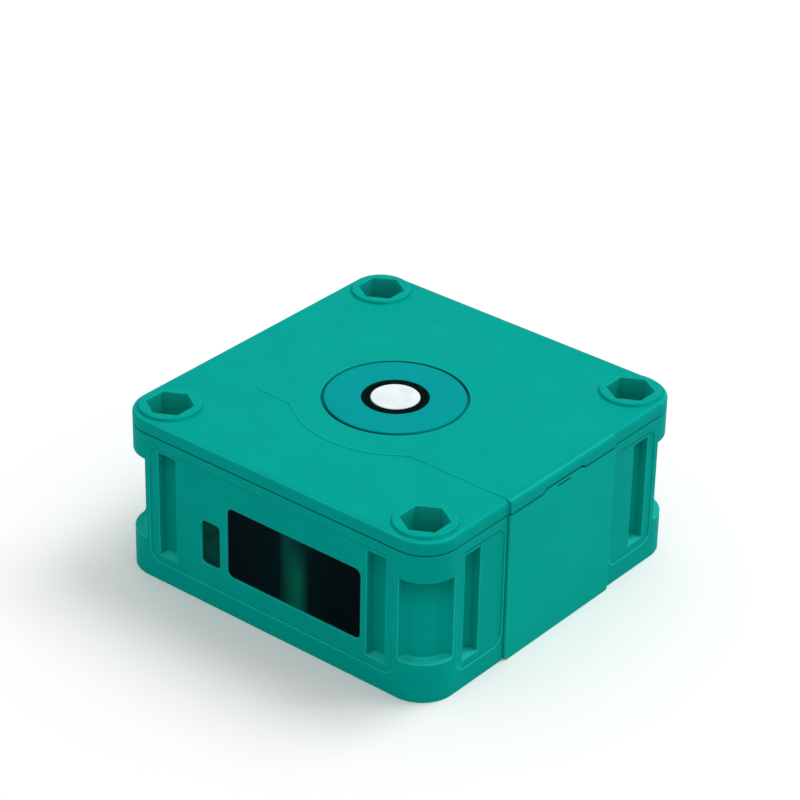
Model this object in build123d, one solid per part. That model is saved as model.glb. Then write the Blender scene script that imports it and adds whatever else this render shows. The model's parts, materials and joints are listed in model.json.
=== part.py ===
from build123d import *
import os

# Ultrasonic distance sensor in a square block housing, sensing face up.
# X runs to the right, Y to the back and Z up, and the front is the side with the windows.
# The origin is the middle of the four mounting holes, on the mounting face. Sizes are in mm.

# Housing
housing_side = 80.0
bolt_inset = 7.5
corner_radius = 7.5
base_height = 33.0
wall = 3.2
floor = 2.5
seam_gap = 0.3
seam_depth = 0.8
cover_thickness = 2.7
cover_edge = 0.3

# Recessed fields and upright slots of the sides
field_depth = 0.3
field_inset = 8.6
field_bottom = 4.4
field_rim = 2.0
field_corner = 2.5
slot_inset = 13.15
slot_width = 4.6
slot_depth = 2.5
slot_fillet = 0.8
slot_bottom = 6.1
slot_rim = 3.3
slot_rib_wall = 0.9

# Scooped recesses of the bolt corners
scoop_radius = 5.2
scoop_bottom = 8.7
scoop_rim = 6.0
scoop_fillet = 1.4
scoop_floor_fillet = 0.8

# Bolt corners: metal sleeve, cover post and hexagon well
post_radius = 8.6
post_drop = 4.6
cover_post_radius = 6.0
fit_gap = 0.1
bolt_hole_radius = 2.75
sleeve_wall = 0.75
hexagon_width = 8.6
hexagon_turn = 30.0
hexagon_floor = 1.4
boss_radius = 6.3
boss_rise = 0.6
boss_edge = 0.25

# Plateau of the cover
plateau_rise = 0.2
plateau_half = 16.25
plateau_left = 27.3
plateau_bulge = 22.25
plateau_corner = 5.0
plateau_blend = 3.0

# Underside of the cover
lip_height = 1.4
lip_thickness = 1.2
lip_gap = 0.1
rib_thickness = 1.2
hub_radius = 17.5
hub_depth = 1.9

# Cover seal
groove_inset = 0.5
groove_width = 1.0
groove_depth = 0.9
seal_gap = 0.1

# Cover screws, set from below
screw_inset = 7.0
screw_from_bolt = 12.7
column_radius = 4.2
column_drop = 7.3
screw_seat_depth = 6.0
screw_head_radius = 2.7
screw_head_height = 2.0
screw_radius = 1.1
screw_tip_cover = 1.3
screw_point = 0.5
screw_slot_length = 3.2
screw_slot_width = 0.7
screw_slot_depth = 1.1
screw_head_edge = 0.5
well_radius = 2.9
screw_clearance = 1.6
screw_boss_radius = 3.2
thread_gap = 0.05

# Transducer
sensor_x = -1.1
sensor_y = -0.7
ring_hole_radius = 14.9
ring_gap = 0.6
ledge_radius = 12.0
ledge_depth = 1.8
ring_rise = 0.3
ring_edge = 0.2
ring_groove_depth = 0.55
collar_length = 2.0
skirt_wall = 1.5
skirt_length = 8.7
foam_outer = 6.75
foam_wall = 1.7
foam_length = 6.8
disc_thickness = 2.1
disc_edge = 0.3
disc_gap = 0.05
piezo_thickness = 2.0
piezo_radius = 4.8
cap_thickness = 1.6
lead_radius = 0.3
lead_pitch = 5.0

# Windows of the front
window_x = 6.0
window_z = 16.6
window_width = 34.0
window_height = 15.8
window_corner = 1.4
window_setback = 0.25
window_lip = 0.5
lamp_spacing = 2.0
lamp_z = 14.05
lamp_width = 4.8
lamp_height = 9.9
lamp_corner = 0.9
lamp_setback = 0.35
lamp_lip = 0.6
lens_gap = 0.1
flange_thickness = 1.0

# Side panel and its bay
panel_width = 33.4
panel_gap = 0.25
panel_proud = 0.65
panel_corner = 0.8
panel_edge = 0.2
bay_depth = 1.2
bay_land = 0.45
tab_width = 11.4
tab_rise = 0.5
tab_depth = 1.35
tab_gap = 0.15
slit_width = 3.7
slit_height = 0.3
slit_drop = 0.2
slit_depth = 0.5
hook_offset = 10.0
hook_width = 3.6
hook_height = 2.6
hook_reach = 0.9
hook_lip = 0.7
hook_gap = 0.2
lower_hook_z = 6.5
upper_hook_drop = 7.5

# Boards
board_z = 6.0
board_thickness = 1.6
board_margin = 1.9
board_clearance = 0.6
board_post_inset = 18.0
board_post_radius = 2.8
board_screw_radius = 1.0
board_screw_length = 4.2
board_head_radius = 2.2
board_head_height = 1.4
board_head_edge = 0.6
board_slot_length = 2.6
board_slot_width = 0.6
board_slot_depth = 0.7
display_gap = 1.2
display_thickness = 1.2
display_left_gap = 3.9
display_right_gap = 0.3
display_bottom = 8.2
display_top = 27.0
led_width = 2.8
led_height = 3.2
led_depth = 0.9
led_corner = 0.4
header_length = 20.0
header_width = 2.5
header_edge = 0.5

# Parts on the main board
transformer_radius = 7.0
transformer_height = 9.0
transformer_bore = 1.4
transformer_bore_depth = 2.0
transformer_cheek = 1.6
transformer_mouth = 4.9
transformer_mouth_depth = 2.8
transformer_place = (-13.0, 9.0)
capacitor_radius = 4.0
capacitor_height = 12.0
capacitor_edge = 0.6
crimp_low = 1.6
crimp_width = 0.8
crimp_depth = 0.35
capacitor_inset = 14.4
capacitor_pitch = 9.5
capacitor_y = 10.0
coil_side = 8.0
coil_height = 4.2
coil_corner = 2.0
coil_groove_outer = 3.52
coil_groove_inner = 2.88
coil_groove_depth = 0.5
coil_place = (15.0, -6.0)
chip_side = 10.0
chip_height = 1.4
chip_place = (-4.0, -17.0)
chip_pins = 8
chip_rise = 0.15
chip_pin_span = 8.0
chip_pin_width = 0.4
chip_pin_length = 1.0
chip_pin_thickness = 0.35
chip_pin_root = 0.2
probe_radius = 1.2
probe_height = 6.0
probe_leg_radius = 0.25
probe_leg_pitch = 1.2
probe_inset = 8.9
probe_y = -8.0

# Connector in the back
connector_z = 17.6
barrel_radius = 6.0
barrel_length = 8.4
barrel_gap = 0.15
inner_barrel_length = 6.7
insert_radius = 4.3
insert_gap = 0.05
connector_hexagon = 17.0
flange_depth = 2.6
relief_radius = 5.4
relief_length = 1.0
barrel_chamfer = 0.6
ring_seal_radius = 7.5
ring_seal_thickness = 0.9
ring_seal_room = 0.1
nut_depth = 3.0
socket_depth = 7.8
contact_radius = 0.5
contact_circle = 3.5
contact_inset = 1.7
contact_hole_gap = 0.04
contact_point = 0.2
key_width = 1.2
key_depth = 0.6
key_length = 2.0
wire_radius = 0.4
wire_bend = 1.0
wire_reach = 1.4
wire_step = 1.2

# Places worked out from the sizes above
half = housing_side / 2
hole = half - bolt_inset
inner_half = half - wall
rim_z = base_height + seam_gap
cover_top = rim_z + cover_thickness
boss_top = cover_top + boss_rise
field_face = half - field_depth
field_width = housing_side - 2 * field_inset
field_top = base_height - field_rim
slot_place = half - slot_inset
slot_top = base_height - slot_rim
scoop_top = base_height - scoop_rim
post_seat = base_height - post_drop
post_bottom = post_seat + fit_gap
column_top = rim_z - column_drop
screw_seat = column_top - screw_seat_depth
screw_tip = rim_z - screw_tip_cover
screw_x = half - screw_inset
screw_y = hole - screw_from_bolt
board_top = board_z + board_thickness
bay_face = half - bay_depth
bay_half = panel_width / 2 + panel_gap
panel_top = rim_z - fit_gap
slit_z = panel_top - slit_drop
upper_hook_z = base_height - upper_hook_drop
groove_outer = groove_inset + groove_width
flange_back = inner_half - flange_thickness
ledge_height = cover_top - ledge_depth
ring_top = cover_top + ring_rise
skirt_bottom = ring_top - skirt_length
foam_bottom = ring_top - foam_length
foam_inner = foam_outer - foam_wall
piezo_top = ring_top + fit_gap - disc_thickness
piezo_bottom = piezo_top - piezo_thickness
screw_places = [(x, y) for x in (-screw_x, screw_x) for y in (-screw_y, screw_y)]
hole_places = [(x, y) for x in (-hole, hole) for y in (-hole, hole)]
post = half - board_post_inset
board_post_places = [(x, y) for x in (-post, post) for y in (-post, post)]
board_half = inner_half - board_margin
capacitor_x = board_half - capacitor_inset
capacitor_places = [(capacitor_x - capacitor_pitch, capacitor_y), (capacitor_x, capacitor_y)]
probe_place = (probe_inset - board_half, probe_y)
lamp_x = window_x - window_width / 2 - lamp_spacing - lamp_width / 2
display_left = post_radius + display_left_gap - hole
display_right = hole - post_radius - display_right_gap
barrel_back = inner_half - inner_barrel_length + wall
barrel_tip = field_face + flange_depth + barrel_length
lead_places = [(sensor_x - lead_pitch / 2, sensor_y), (sensor_x + lead_pitch / 2, sensor_y)]
contact_places = [(contact_circle, 0), (-contact_circle, 0), (0, contact_circle), (0, -contact_circle)]
far = 2 * housing_side


def rod(radius, low, high, place=(0, 0)):
    """An upright cylinder between two heights."""
    return Pos(place[0], place[1], (low + high) / 2) * Cylinder(radius, high - low)


def rods(radius, low, high, places):
    """Equal upright cylinders at several places."""
    return [rod(radius, low, high, place) for place in places]


def block(x0, x1, y0, y1, z0, z1):
    """A box between three pairs of limits."""
    return Pos((x0 + x1) / 2, (y0 + y1) / 2, (z0 + z1) / 2) * Box(x1 - x0, y1 - y0, z1 - z0)


def tube(outer, inner, low, high, place=(0, 0)):
    """An upright tube."""
    return rod(outer, low, high, place) - rod(inner, low - 1, high + 1, place)


def upright(sketch, low, high):
    """A flat outline extruded upwards between two heights."""
    return Pos(0, 0, low) * extrude(sketch, high - low)


def on_front(sketch, x, z, outer, inner):
    """An outline on the front, extruded between two distances from the middle of the housing."""
    face = Plane(origin=(0, -outer, 0), x_dir=(1, 0, 0), z_dir=(0, -1, 0))
    return extrude(face * (Pos(x, z) * sketch), inner - outer)


def on_side(turn, shape):
    """Carry a shape from the front to another side: 1 is the right, 2 the back and 3 the left."""
    return Rot(0, 0, 90 * turn) * shape


def along_back(radius, near, end, x=0, z=0):
    """A cylinder that runs backwards, measured from the connector's axis."""
    turned = Rot(90, 0, 0) * Cylinder(radius, end - near)
    return Pos(x, (near + end) / 2, connector_z + z) * turned


def hexagon(width):
    """A hexagon given by the distance across its flats."""
    return RegularPolygon(width / 2, 6, major_radius=False, rotation=hexagon_turn)


def inner_outline(grow):
    """The inside of the housing, with its corners taken up by the bolt posts, grown into the wall."""
    square = Rectangle(2 * (inner_half + grow), 2 * (inner_half + grow))
    return square - [Pos(x, y) * Circle(post_radius - grow) for x, y in hole_places]


def rim_groove(edge_gap, low, high):
    """The ring that the seal's groove or the seal itself fills in the rim."""
    outer = inner_outline(groove_outer - edge_gap)
    outer -= [Pos(x * 1.5, y * 1.5) * Rectangle(hole, hole) for x, y in hole_places]
    inner = inner_outline(groove_inset + edge_gap)
    return upright(outer - inner, low, high)


def side_fields():
    """The shallow recessed field of each side; the right one is parted by the panel bay."""
    height = field_top - field_bottom
    middle = (field_top + field_bottom) / 2
    whole = on_front(RectangleRounded(field_width, height, field_corner), 0, middle, half + 1, field_face)
    start = bay_half + bay_land
    part = field_width / 2 - start
    place = (field_width / 2 + start) / 2
    fields = [on_side(turn, whole) for turn in (0, 2, 3)]
    for x in (-place, place):
        piece = on_front(RectangleRounded(part, height, field_corner), x, middle, half + 1, field_face)
        fields.append(on_side(1, piece))
    return fields


def side_slots(grow, low, high):
    """Upright slots with rounded floor corners, two on each side, grown by a wall for the ribs."""
    outline = Rectangle(slot_width + 2 * grow, 2 * (slot_depth + grow))
    outline = fillet(outline.vertices(), slot_fillet + grow)
    slot = upright(outline, low, high)
    pair = [Pos(x, -field_face, 0) * slot for x in (-slot_place, slot_place)]
    return [on_side(turn, piece) for turn in range(4) for piece in pair]


def corner_scoops():
    """The recess in each bolt corner, hollowed out round the bolt and closed above and below."""
    reach = half - hole + 1
    outline = Pos(reach / 2, reach / 2) * Rectangle(reach, reach) - Circle(scoop_radius)
    inner_corners = outline.vertices().sort_by(lambda point: point.X**2 + point.Y**2)[:2]
    outline = fillet(inner_corners, scoop_fillet)
    scoop = upright(outline, scoop_bottom, scoop_top)
    floor_edges = scoop.edges().group_by(Axis.Z)[0]
    floor_edges = floor_edges.filter_by(lambda edge: max(edge.center().X, edge.center().Y) < reach - 0.01)
    scoop = fillet(floor_edges, scoop_floor_fillet)
    return [Rot(0, 0, 90 * turn) * Pos(hole, hole, 0) * scoop for turn in range(4)]


def hook_windows():
    """Openings in the bay's wall for the panel's four hooks."""
    width = hook_width + 2 * hook_gap
    height = hook_height + 2 * hook_gap
    openings = []
    for y in (-hook_offset, hook_offset):
        for z in (lower_hook_z, upper_hook_z):
            openings.append(
                block(inner_half - 1, half, y - width / 2, y + width / 2, z - height / 2, z + height / 2)
            )
    return openings


def base_housing():
    """The moulded box that holds everything, open at the top."""
    outline = RectangleRounded(housing_side, housing_side, corner_radius)
    rim = RectangleRounded(
        housing_side - 2 * seam_depth, housing_side - 2 * seam_depth, corner_radius - seam_depth
    )
    body = upright(outline, 0, base_height) + upright(rim, base_height, rim_z)

    room = upright(inner_outline(0), floor, rim_z + 1)
    room -= side_slots(slot_rib_wall, 0, slot_top + slot_rib_wall)
    room -= rods(column_radius, 0, column_top, screw_places)
    room -= rods(board_post_radius, 0, board_z, board_post_places)
    body -= room

    body -= side_fields()
    body -= side_slots(0, slot_bottom, slot_top)
    body -= corner_scoops()
    body -= rods(bolt_hole_radius + sleeve_wall + fit_gap / 2, -1, post_seat + 1, hole_places)
    body -= rods(cover_post_radius + 2 * fit_gap, post_seat, rim_z + 1, hole_places)
    body -= rods(well_radius, -1, screw_seat, screw_places)
    body -= rods(screw_clearance, screw_seat - 1, column_top + 1, screw_places)
    thread = board_screw_radius + thread_gap
    body -= rods(thread, board_top - board_screw_length, board_z + 1, board_post_places)
    body -= rim_groove(0, rim_z - groove_depth, rim_z + 1)

    body -= block(bay_face, far, -bay_half, bay_half, -1, far)
    body -= hook_windows()
    window = RectangleRounded(window_width, window_height, window_corner)
    body -= on_front(window, window_x, window_z, half + 1, inner_half - 1)
    lamp = RectangleRounded(lamp_width, lamp_height, lamp_corner)
    body -= on_front(lamp, lamp_x, lamp_z, half + 1, inner_half - 1)
    body -= along_back(barrel_radius + barrel_gap, inner_half - 1, half + 1)
    return body


def plateau():
    """The slightly raised strip of the cover that swells round the transducer."""
    right = half - cover_edge
    strip = Pos((right - plateau_left) / 2, 0) * Rectangle(right + plateau_left, 2 * plateau_half)
    ends = strip.vertices().sort_by(Axis.X)[:2]
    strip = fillet(ends, plateau_corner)
    outline = strip + Circle(plateau_bulge)
    meets = outline.vertices().filter_by(
        lambda point: abs(abs(point.Y) - plateau_half) < 0.01 and abs(point.X) < plateau_bulge
        and abs((point.X**2 + point.Y**2) ** 0.5 - plateau_bulge) < 0.01
    )
    outline = fillet(meets, plateau_blend)
    return upright(outline, cover_top - 0.5, cover_top + plateau_rise)


def tab_outline(grow):
    """The outline of the panel's latch tab seen from the right, its ends sloped."""
    low = panel_top - 1
    top = panel_top + tab_rise + grow
    reach = tab_width / 2 + grow
    foot = reach + tab_rise
    right = [(foot, low), (foot, panel_top), (reach, top)]
    left = [(-x, z) for x, z in reversed(right)]
    return Polygon(*right, *left, align=None)


def top_cover():
    """The moulded cover plate, with its bosses, hexagon wells and plateau."""
    plate = upright(RectangleRounded(housing_side, housing_side, corner_radius), rim_z, cover_top)
    plate = fillet(plate.edges().group_by(Axis.Z)[-1], cover_edge)
    boss = fillet(rod(boss_radius, cover_top - 0.5, boss_top).edges().group_by(Axis.Z)[-1], boss_edge)
    cover = plate + plateau()
    cover += [Pos(x, y, 0) * boss for x, y in hole_places]

    cover += rods(cover_post_radius, post_bottom, rim_z, hole_places)
    cover += rod(hub_radius, rim_z - hub_depth, rim_z, (sensor_x, sensor_y))
    lip = inner_outline(-lip_gap) - inner_outline(-lip_gap - lip_thickness)
    cover += upright(lip, rim_z - lip_height, rim_z)
    reach = inner_half - lip_gap - lip_thickness / 2
    cover += block(-reach, reach, -rib_thickness / 2, rib_thickness / 2, rim_z - lip_height, rim_z)
    cover += block(-rib_thickness / 2, rib_thickness / 2, -reach, reach, rim_z - lip_height, rim_z)
    cover += rods(screw_boss_radius, column_top + 2 * fit_gap, rim_z, screw_places)

    well = upright(hexagon(hexagon_width), post_bottom + hexagon_floor, boss_top + 1)
    cover -= [Pos(x, y, 0) * well for x, y in hole_places]
    cover -= rods(bolt_hole_radius, post_bottom - 1, cover_top, hole_places)
    cover -= rods(screw_radius + thread_gap, column_top, screw_tip + thread_gap, screw_places)
    cover -= rod(ledge_radius, 0, far, (sensor_x, sensor_y))
    cover -= rod(ring_hole_radius, ledge_height, far, (sensor_x, sensor_y))
    notch_back = half + panel_proud - tab_depth - tab_gap
    notch = on_side(1, on_front(tab_outline(tab_gap), 0, 0, half + 1, notch_back))
    return cover - notch


def cover_seal():
    """The cord seal that lies in the groove of the rim."""
    return rim_groove(seal_gap, rim_z - groove_depth, rim_z)


def side_panel():
    """The fitted panel of the right side, with its latch tab and four hooks."""
    outer = half + panel_proud
    inner = bay_face + fit_gap
    plate = block(inner, outer, -panel_width / 2, panel_width / 2, 0, panel_top)
    upright_edges = plate.edges().filter_by(Axis.Z).group_by(Axis.X)[-1]
    plate = chamfer(upright_edges, panel_edge)
    low_corners = plate.edges().filter_by(Axis.X).group_by(Axis.Z)[0]
    plate = fillet(low_corners, panel_corner)
    panel = plate + on_side(1, on_front(tab_outline(0), 0, 0, outer, outer - tab_depth))
    low = slit_z - slit_height / 2
    panel -= block(outer - slit_depth, outer + 1, -slit_width / 2, slit_width / 2, low, low + slit_height)
    tip = inner_half - hook_reach
    for y in (-hook_offset, hook_offset):
        for z, side in ((lower_hook_z, -1), (upper_hook_z, 1)):
            edge = z + side * hook_height / 2
            base = z - side * hook_height / 2
            catch = inner_half - hook_gap / 2
            root = (inner + outer) / 2
            points = [(root, base), (root, edge), (catch, edge), (catch, edge + side * hook_lip)]
            outline = Polygon(*points, (tip, edge), (tip, base), align=None)
            face = Plane(origin=(0, y, 0), x_dir=(1, 0, 0), z_dir=(0, -1, 0))
            panel += extrude(face * outline, hook_width / 2, both=True)
    return panel


def face_ring():
    """The ring let into the cover; its skirt holds the transducer."""
    bore = foam_outer + fit_gap
    skirt = bore + skirt_wall
    collar = ledge_radius - fit_gap
    rim = ring_hole_radius - ring_gap
    seat = ring_hole_radius - fit_gap
    collar_bottom = ledge_height - collar_length
    groove_floor = cover_top - ring_groove_depth
    points = [(bore, skirt_bottom), (skirt, skirt_bottom), (skirt, collar_bottom), (collar, collar_bottom)]
    points += [(collar, ledge_height), (seat, ledge_height), (seat, groove_floor), (rim, groove_floor)]
    points += [(rim, ring_top - ring_edge), (rim - ring_edge, ring_top), (bore, ring_top)]
    outline = Polygon(*points, align=None)
    return Pos(sensor_x, sensor_y, 0) * revolve(Plane.XZ * outline, Axis.Z)


def foam_ring():
    """The black ring that keeps the transducer's sound out of the housing."""
    return tube(foam_outer, foam_inner, foam_bottom, ring_top, (sensor_x, sensor_y))


def matching_layer():
    """The white front disc."""
    disc = rod(foam_inner - disc_gap, piezo_top, ring_top + fit_gap, (sensor_x, sensor_y))
    return fillet(disc.edges().group_by(Axis.Z)[-1], disc_edge)


def piezo_disc():
    """The ceramic behind the white disc."""
    return rod(piezo_radius, piezo_bottom, piezo_top, (sensor_x, sensor_y))


def backing_foam():
    """The damping pad behind the ceramic, with holes for the leads."""
    pad = rod(foam_inner - disc_gap, foam_bottom, piezo_bottom, (sensor_x, sensor_y))
    return pad - rods(lead_radius + fit_gap, 0, far, lead_places)


def transducer_cap():
    """The disc that closes the skirt from below."""
    cap = rod(foam_outer, foam_bottom - cap_thickness, foam_bottom, (sensor_x, sensor_y))
    return cap - rods(lead_radius + fit_gap, 0, far, lead_places)


def transducer_leads():
    """Two straight wires from the ceramic down to the main board."""
    return Compound(children=rods(lead_radius, board_z - 0.6, piezo_bottom, lead_places))


def lens(width, height, corner, x, z, setback, lip):
    """A window lens: a plug that fills the opening and a flange bonded behind the wall."""
    plug = RectangleRounded(width - 2 * lens_gap, height - 2 * lens_gap, corner - lens_gap)
    flange = RectangleRounded(width + 2 * lip, height + 2 * lip, corner)
    body = on_front(plug, x, z, field_face - setback, flange_back)
    return body + on_front(flange, x, z, inner_half, flange_back)


def display_window():
    """The wide smoked window."""
    return lens(window_width, window_height, window_corner, window_x, window_z, window_setback, window_lip)


def indicator_lens():
    """The narrow window beside it, set deeper."""
    return lens(lamp_width, lamp_height, lamp_corner, lamp_x, lamp_z, lamp_setback, lamp_lip)


def mounting_sleeves():
    """Metal sleeves in the bolt corners that take the bolts' load."""
    sleeve = tube(bolt_hole_radius + sleeve_wall, bolt_hole_radius, 0, post_seat)
    return Compound(children=[Pos(x, y, 0) * sleeve for x, y in hole_places])


def cross_slot(length, width, low, high):
    """The cross-shaped recess of a screw head."""
    arm = block(-length / 2, length / 2, -width / 2, width / 2, low, high)
    return [arm, on_side(1, arm)]


def cover_screws():
    """The four screws that pull the cover down from below."""
    head = rod(screw_head_radius, screw_seat - screw_head_height, screw_seat)
    head = fillet(head.edges().group_by(Axis.Z)[0], screw_head_edge)
    low = screw_seat - screw_head_height
    head -= cross_slot(screw_slot_length, screw_slot_width, low - 1, low + screw_slot_depth)
    shank = rod(screw_radius, screw_seat, screw_tip)
    shank = chamfer(shank.edges().group_by(Axis.Z)[-1], screw_point)
    return Compound(children=[Pos(x, y, 0) * (head + shank) for x, y in screw_places])


def main_board():
    """The main circuit board, cut out round the bolt posts and screw columns."""
    outline = Rectangle(2 * board_half, 2 * board_half)
    outline -= [Pos(x, y) * Circle(post_radius + board_clearance) for x, y in hole_places]
    outline -= [Pos(x, y) * Circle(column_radius + board_clearance) for x, y in screw_places]
    board = upright(outline, board_z, board_top)
    board -= rods(board_screw_radius + 2 * fit_gap, 0, far, board_post_places)
    board -= rods(lead_radius + fit_gap, 0, far, lead_places)
    board -= rods(wire_radius + fit_gap, 0, far, [(x, y) for x, y, _ in wire_routes()])
    return board


def board_screws():
    """Four pan-head screws that hold the main board on its posts."""
    head = rod(board_head_radius, board_top, board_top + board_head_height)
    head = fillet(head.edges().group_by(Axis.Z)[-1], board_head_edge)
    top = board_top + board_head_height
    head -= cross_slot(board_slot_length, board_slot_width, top - board_slot_depth, top + 1)
    shank = rod(board_screw_radius, board_top - board_screw_length, board_top)
    return Compound(children=[Pos(x, y, 0) * (head + shank) for x, y in board_post_places])


def display_face():
    """How far the display board's front lies from the middle of the housing."""
    return flange_back - display_gap


def display_board():
    """The upright board behind the windows."""
    back = display_thickness - display_face()
    return block(display_left, display_right, -display_face(), back, display_bottom, display_top)


def signal_leds():
    """Chips on the display board: two behind the narrow window, four behind the wide one."""
    outer = display_face() + led_depth
    places = [(lamp_x, lamp_z - lamp_height / 4), (lamp_x, lamp_z + lamp_height / 4)]
    pitch = window_width / 4
    places += [(window_x + pitch * (step - 1.5), window_z) for step in range(4)]
    chip = RectangleRounded(led_width, led_height, led_corner)
    return Compound(children=[on_front(chip, x, z, outer, display_face()) for x, z in places])


def board_header():
    """The pin strip in the angle between the two boards."""
    left = (display_left + display_right - header_length) / 2
    back = display_thickness - display_face()
    top = board_top + header_width
    strip = block(left, left + header_length, back, back + header_width, board_top, top)
    return chamfer(strip.edges().filter_by(Axis.X).group_by(Axis.Z)[-1].sort_by(Axis.Y)[-1], header_edge)


def drive_transformer():
    """A ferrite pot core, open at two sides where its winding comes out."""
    top = board_top + transformer_height
    body = rod(transformer_radius, board_top, top)
    body -= rod(transformer_bore, top - transformer_bore_depth, far)
    low = board_top + transformer_cheek
    start = transformer_radius - transformer_mouth_depth
    mouth = block(start, far, -transformer_mouth / 2, transformer_mouth / 2, low, top - transformer_cheek)
    body -= [mouth, on_side(2, mouth)]
    return Pos(*transformer_place, 0) * body


def storage_capacitors():
    """Two electrolytic capacitors with rolled rims."""
    can = rod(capacitor_radius, board_top, board_top + capacitor_height)
    can = fillet(can.edges().group_by(Axis.Z)[-1], capacitor_edge)
    low = board_top + crimp_low
    crimp = tube(capacitor_radius + 1, capacitor_radius - crimp_depth, low, low + crimp_width)
    return Compound(children=[Pos(x, y, 0) * (can - crimp) for x, y in capacitor_places])


def power_coil():
    """The shielded choke of the supply."""
    top = board_top + coil_height
    body = upright(RectangleRounded(coil_side, coil_side, coil_corner), board_top, top)
    body -= tube(coil_groove_outer, coil_groove_inner, top - coil_groove_depth, far)
    return Pos(*coil_place, 0) * body


def processor_chip():
    """The controller with its legs on four sides."""
    edge = chip_side / 2
    body = block(-edge, edge, -edge, edge, board_top + chip_rise, board_top + chip_height)
    pitch = chip_pin_span / (chip_pins - 1)
    for turn in range(4):
        for pin in range(chip_pins):
            x = (pin - chip_pins / 2) * pitch + (pitch - chip_pin_width) / 2
            top = board_top + chip_pin_thickness
            tip = -edge - chip_pin_length
            leg = block(x, x + chip_pin_width, tip, chip_pin_root - edge, board_top, top)
            body += Rot(0, 0, 90 * turn) * leg
    return Pos(*chip_place, 0) * body


def temperature_probe():
    """A bead on two legs that senses the temperature for the speed of sound."""
    bead = Pos(0, 0, board_top + probe_height) * Sphere(probe_radius)
    spread = probe_leg_pitch / 2
    legs = rods(probe_leg_radius, board_top, board_top + probe_height, [(-spread, 0), (spread, 0)])
    return Pos(*probe_place, 0) * (bead + legs)


def connector_shell():
    """The plated shell, turned with a hexagon flange, its thread left plain."""
    relief = field_face + flange_depth
    body = along_back(barrel_radius, barrel_back, field_face)
    barrel = along_back(barrel_radius, relief, barrel_tip)
    barrel = chamfer(barrel.edges().group_by(Axis.Y)[-1], barrel_chamfer)
    face = Plane(origin=(0, field_face, connector_z), x_dir=(1, 0, 0), z_dir=(0, 1, 0))
    body += extrude(face * hexagon(connector_hexagon), flange_depth)
    body += barrel
    cut = along_back(barrel_radius + 1, relief, relief + relief_length)
    body -= cut - along_back(relief_radius, relief, relief + relief_length)
    ring_out = ring_seal_radius + ring_seal_thickness / 2 + ring_seal_room
    ring_in = ring_seal_radius - ring_seal_thickness / 2 - ring_seal_room
    groove_end = field_face + ring_seal_thickness
    ring = along_back(ring_out, field_face, groove_end) - along_back(ring_in, field_face, groove_end)
    body -= ring
    return body - along_back(insert_radius + insert_gap, 0, far)


def connector_seal():
    """The ring seal in the flange's groove."""
    ring = Rot(90, 0, 0) * Torus(ring_seal_radius, ring_seal_thickness / 2)
    return Pos(0, field_face + ring_seal_thickness / 2, connector_z) * ring


def connector_nut():
    """The nut that clamps the connector from inside the wall."""
    face = Plane(origin=(0, inner_half, connector_z), x_dir=(1, 0, 0), z_dir=(0, 1, 0))
    body = extrude(face * hexagon(connector_hexagon), -nut_depth)
    return body - along_back(barrel_radius + thread_gap, 0, far)


def contact_carrier():
    """The insert that carries the contacts, with its key."""
    end = barrel_tip - socket_depth
    body = along_back(insert_radius, barrel_back, end)
    for x, z in contact_places:
        body -= along_back(contact_radius + contact_hole_gap, 0, far, x, z)
    key_floor = connector_z + insert_radius - key_depth
    return body - block(-key_width / 2, key_width / 2, end - key_length, end + 1, key_floor, far)


def contact_pins():
    """The four contacts."""
    pins = []
    for x, z in contact_places:
        pin = along_back(contact_radius, barrel_back - contact_inset, barrel_tip - contact_inset, x, z)
        pins.append(chamfer(pin.edges().group_by(Axis.Y)[-1], contact_point))
    return Compound(children=pins)


def wire_routes():
    """Where each contact's wire goes down, x and y, and the height at which it starts."""
    routes = []
    for x, z in contact_places:
        step = (z / contact_circle + 1) * wire_step
        routes.append((x, barrel_back - contact_inset - wire_reach - step, connector_z + z))
    return routes


def connector_leads():
    """Wires from the contacts down to the main board."""
    start = barrel_back - contact_inset
    wires = []
    for x, y, z in wire_routes():
        path = FilletPolyline((x, start, z), (x, y, z), (x, y, board_z), radius=wire_bend)
        section = Plane(origin=(x, start, z), z_dir=(0, -1, 0)) * Circle(wire_radius)
        wires.append(sweep(section, path=path))
    return Compound(children=wires)


pieces = {
    "base_housing": base_housing,
    "top_cover": top_cover,
    "cover_seal": cover_seal,
    "side_panel": side_panel,
    "face_ring": face_ring,
    "foam_ring": foam_ring,
    "matching_layer": matching_layer,
    "piezo_disc": piezo_disc,
    "backing_foam": backing_foam,
    "transducer_cap": transducer_cap,
    "transducer_leads": transducer_leads,
    "display_window": display_window,
    "indicator_lens": indicator_lens,
    "mounting_sleeves": mounting_sleeves,
    "cover_screws": cover_screws,
    "main_board": main_board,
    "board_screws": board_screws,
    "display_board": display_board,
    "signal_leds": signal_leds,
    "board_header": board_header,
    "drive_transformer": drive_transformer,
    "storage_capacitors": storage_capacitors,
    "power_coil": power_coil,
    "processor_chip": processor_chip,
    "temperature_probe": temperature_probe,
    "connector_shell": connector_shell,
    "connector_seal": connector_seal,
    "connector_nut": connector_nut,
    "contact_carrier": contact_carrier,
    "contact_pins": contact_pins,
    "connector_leads": connector_leads,
}

os.makedirs("parts", exist_ok=True)
for name, make in pieces.items():
    export_step(make(), f"parts/{name}.step")
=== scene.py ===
import json
import math

import bmesh
import bpy
from bpy.props import FloatProperty, FloatVectorProperty, IntProperty, PointerProperty
from mathutils import Matrix, Vector


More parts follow.
